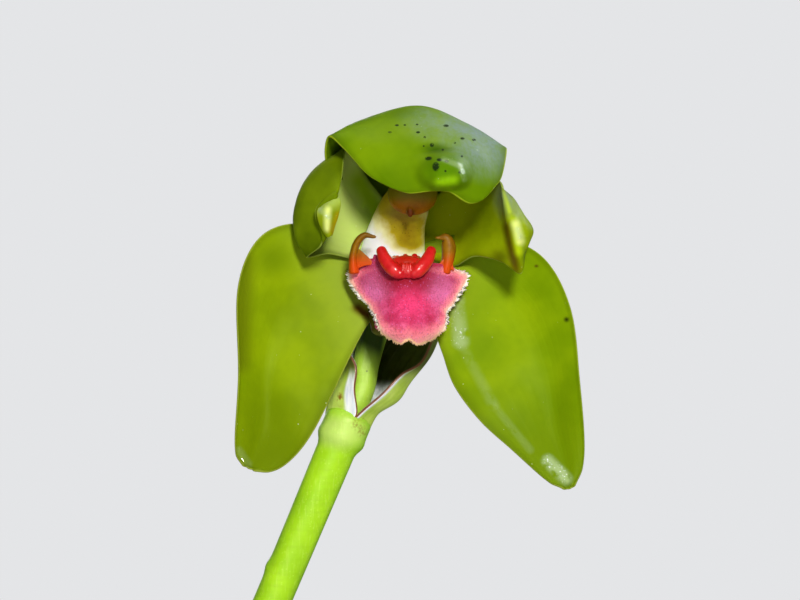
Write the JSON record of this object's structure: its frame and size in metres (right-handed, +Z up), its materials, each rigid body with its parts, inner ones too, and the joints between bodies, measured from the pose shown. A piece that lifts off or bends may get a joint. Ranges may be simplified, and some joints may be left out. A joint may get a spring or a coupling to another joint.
{
  "type": "potted sudamerlycaste costata",
  "caption": "Potted orchid in bloom: a hooded green flower with a fringed pink lip on a leaning scape, over ribbed pseudobulbs and pleated leaves in a plain clay pot.",
  "frame": {"origin": "middle of the underside of the pot, where it stands", "axes": "+Z up, the flower faces -Y, the scape leans to +X"},
  "size_m": [0.5211, 0.3446, 0.4172],
  "materials": {
    "clay": "matte",
    "bark": "matte",
    "pseudobulb_green": "satin",
    "dry_sheath": "matte",
    "leaf_green": "satin",
    "scape_green": "satin",
    "bract_green": "satin",
    "tepal_green": "satin",
    "lip_pink": "satin",
    "callus_red": "gloss",
    "lobe_orange": "satin",
    "column_cream": "satin",
    "cap_orange": "satin"
  },
  "bodies": {
    "root": {"flower_tepals": "tepal_green", "ovary": "scape_green", "floral_bract": "bract_green", "column": "column_cream", "anther_cap": "cap_orange", "lip": "lip_pink", "lip_callus": "callus_red", "lip_side_lobe_left": "lobe_orange", "lip_side_lobe_right": "lobe_orange", "pseudobulb_1": "pseudobulb_green", "bulb_sheath_1": "dry_sheath", "pseudobulb_2": "pseudobulb_green", "bulb_sheath_2": "dry_sheath", "pseudobulb_3": "pseudobulb_green", "bulb_sheath_3": "dry_sheath", "pseudobulb_4": "pseudobulb_green", "bulb_sheath_4": "dry_sheath", "leaf_1": "leaf_green", "leaf_2": "leaf_green", "leaf_3": "leaf_green", "leaf_4": "leaf_green", "leaf_5": "leaf_green", "scape_sheath_1": "bract_green", "scape_sheath_2": "bract_green", "scape_sheath_3": "bract_green", "scape": "scape_green", "bark": "bark", "pot": "clay"}
  },
  "joints": []
}
